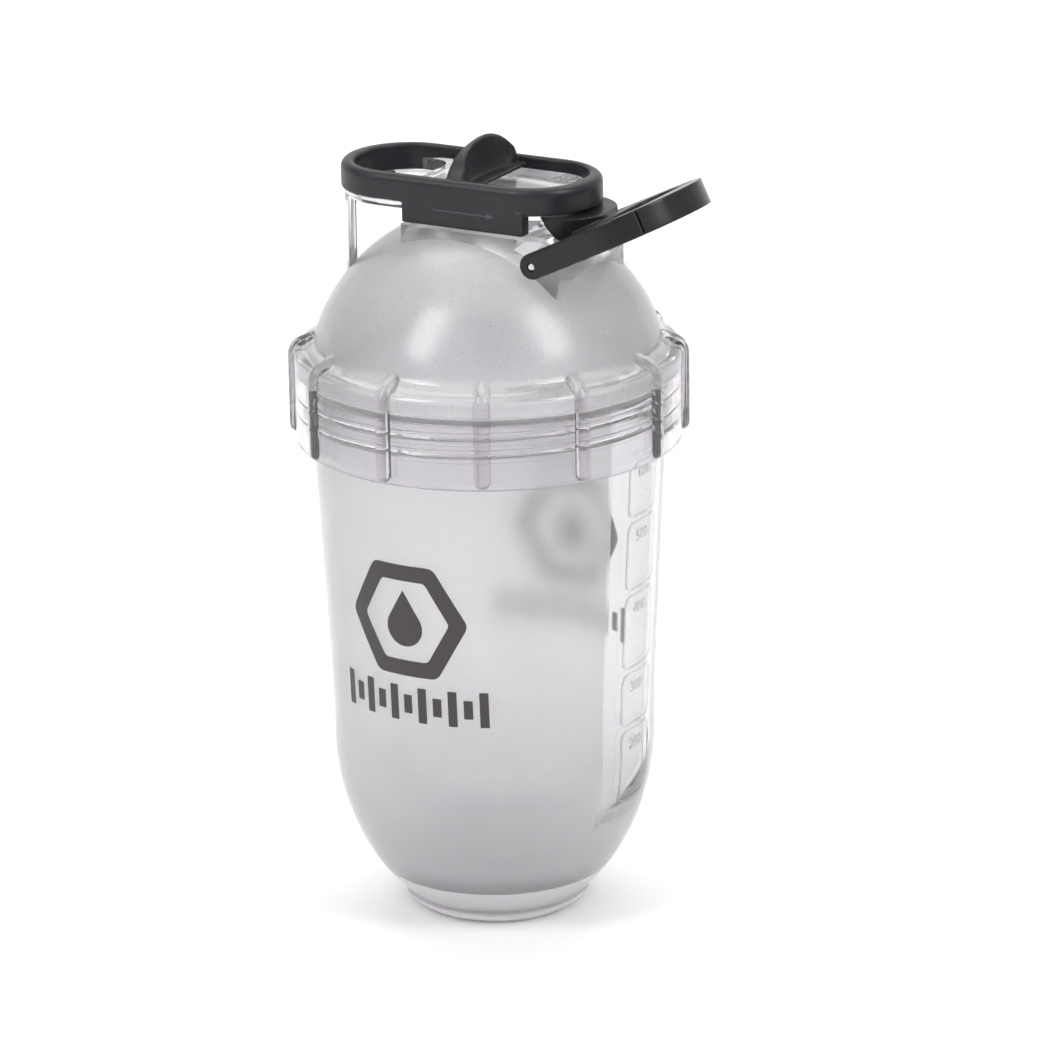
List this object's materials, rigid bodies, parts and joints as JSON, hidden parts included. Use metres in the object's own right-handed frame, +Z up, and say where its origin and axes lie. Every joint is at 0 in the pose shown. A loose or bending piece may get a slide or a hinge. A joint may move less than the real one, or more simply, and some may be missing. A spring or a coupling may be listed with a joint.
{
  "type": "protein shaker bottle",
  "caption": "Capsule-shaped clear shaker cup with a ribbed screw-on dome lid, a sliding carry-loop lock and a flip-down cap over the drinking mouth.",
  "frame": {"origin": "centre of the flat foot", "axes": "+Z up along the cup's axis; +X along the lid's top, from the carry loop to the drinking mouth"},
  "size_m": [0.1138, 0.104, 0.2082],
  "materials": {
    "clear_cup": "clear copolyester with a frosted inside",
    "clear_lid": "clear copolyester with a frosted inside",
    "seal_silicone": "translucent silicone",
    "black_plastic": "satin moulded",
    "black_gloss": "semi-gloss moulded",
    "plug_silicone": "matt silicone",
    "pin_steel": "ground"
  },
  "bodies": {
    "cup": {"cup_body": "clear_cup"},
    "seal": {"lid_seal": "seal_silicone"},
    "lid": {"lid_shell": "clear_lid", "hinge_pin_front": "pin_steel", "hinge_pin_rear": "pin_steel"},
    "slide": {"slide_lock": "black_plastic"},
    "cap": {"flip_cap": "black_plastic", "cap_nose": "black_gloss", "mouth_plug": "plug_silicone"}
  },
  "joints": [
    {"name": "lid_lift", "type": "slide", "parent": "cup", "child": "seal", "axis": [0, 0, 1], "range_m": [0, 0.0068]},
    {"name": "lid_turn", "type": "hinge", "parent": "seal", "child": "lid", "pos_m": [0, 0, 0.14], "axis": [0, 0, 1], "range_deg": [0, 540]},
    {"name": "slide_travel", "type": "slide", "parent": "lid", "child": "slide", "axis": [1, 0, 0], "range_m": [0, 0.005]},
    {"name": "cap_hinge", "type": "hinge", "parent": "lid", "child": "cap", "pos_m": [0.0248, 0, 0.1818], "axis": [0, 1, 0], "range_deg": [0, 54]}
  ],
  "couplings": [
    {"joint": "lid_lift", "follows": "lid_turn", "m_per_rad": 0.0007162}
  ]
}
